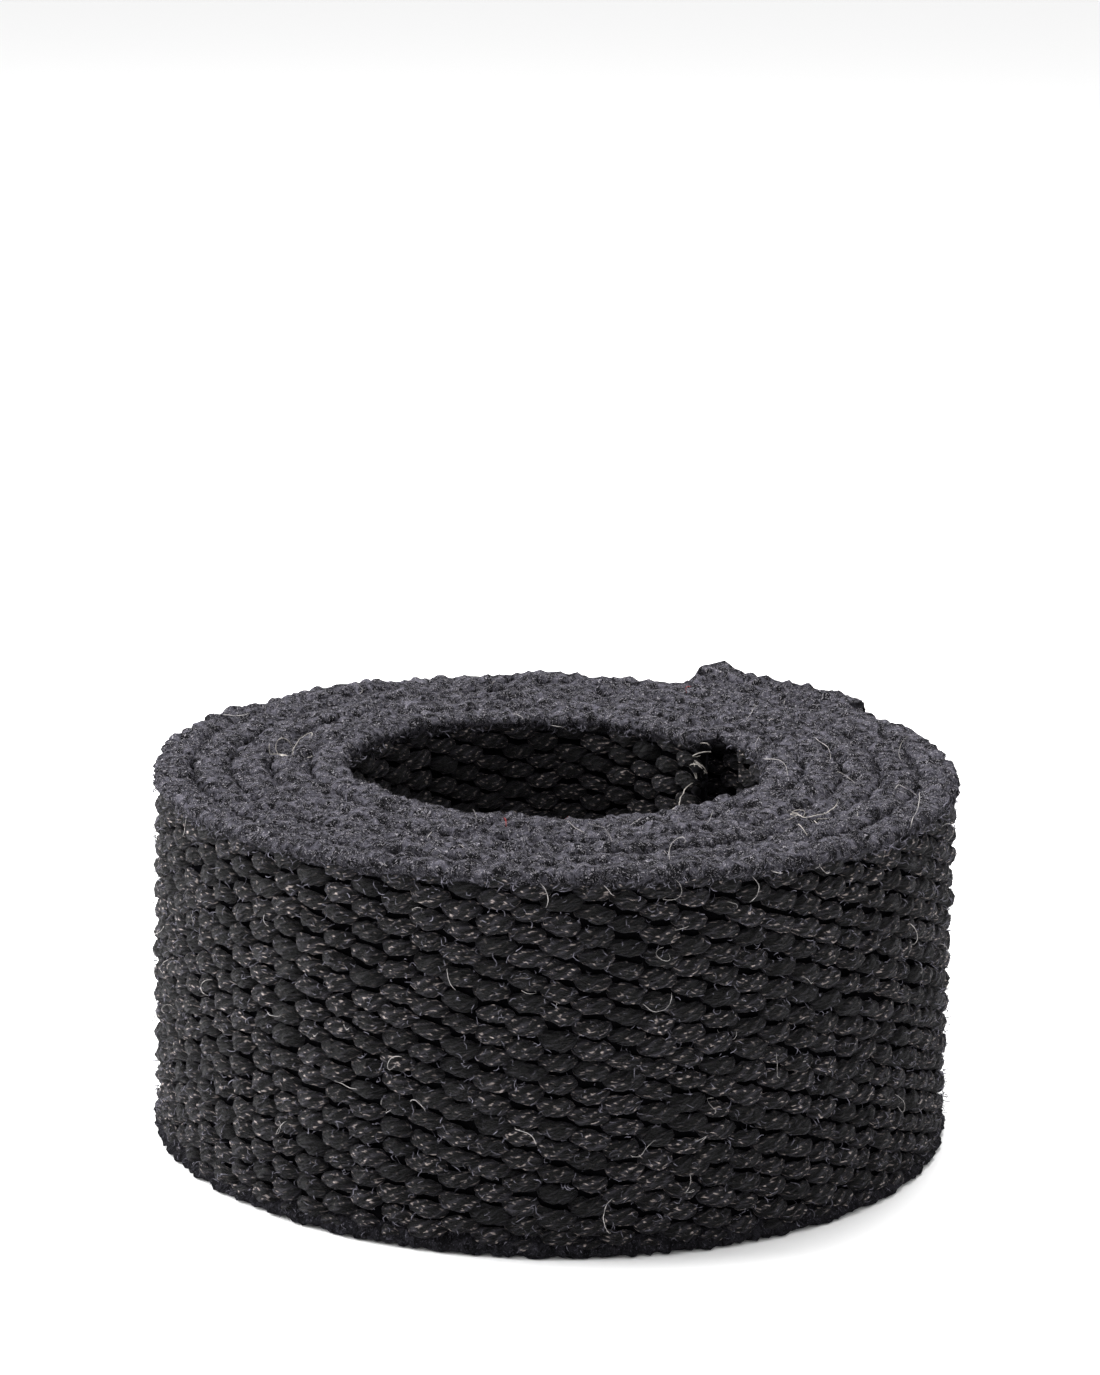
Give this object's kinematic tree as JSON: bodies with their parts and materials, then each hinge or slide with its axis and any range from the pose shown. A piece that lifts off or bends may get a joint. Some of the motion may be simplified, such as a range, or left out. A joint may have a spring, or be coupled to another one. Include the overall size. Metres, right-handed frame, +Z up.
{
  "type": "gait belt",
  "caption": "Rolled gait belt: thick dark cotton webbing wound on its edge round an open hollow, with a sprung cam buckle sewn to its outer end.",
  "frame": {"origin": "middle of the footprint, on the surface that the roll stands on", "axes": "+Z up along the roll's axis and across the webbing's width; +Y from the roll towards the buckle at its back; +X completes the right-handed set"},
  "size_m": [0.1108, 0.1228, 0.0532],
  "materials": {
    "cotton_webbing": "matte, coarse and slightly felted",
    "sewing_thread": "matte twisted thread",
    "pale_thread": "matte loose thread",
    "nickel_steel": "nickel plated, satin",
    "pin_steel": "plain steel, turned",
    "spring_steel": "oiled spring wire"
  },
  "bodies": {
    "roll": {"strap_roll": "cotton_webbing", "inner_end_overcast": "pale_thread"},
    "tail": {"strap_tail": "cotton_webbing", "flap_box_stitch": "sewing_thread", "flap_end_overcast": "sewing_thread"},
    "buckle": {"buckle_frame": "nickel_steel", "anchor_bar": "pin_steel", "cam_pin": "pin_steel", "cam_spring": "spring_steel"},
    "lever": {"cam_lever": "nickel_steel"}
  },
  "joints": [
    {"name": "tail_peel", "type": "hinge", "parent": "roll", "child": "tail", "pos_m": [0.0537, 0.00879, 0.0254], "axis": [0, 0, -1], "range_deg": [0, 35]},
    {"name": "buckle_swing", "type": "hinge", "parent": "tail", "child": "buckle", "pos_m": [0.01423, 0.05217, 0.0241], "axis": [0, 0, -1], "range_deg": [0, 40]},
    {"name": "cam_open", "type": "hinge", "parent": "buckle", "child": "lever", "pos_m": [-0.01337, 0.05628, 0.0241], "axis": [0, 0, 1], "range_deg": [0, 75], "stiffness_Nm_per_rad": 0.06, "springref_deg": -17.19, "deforming": ["cam_spring"]}
  ]
}
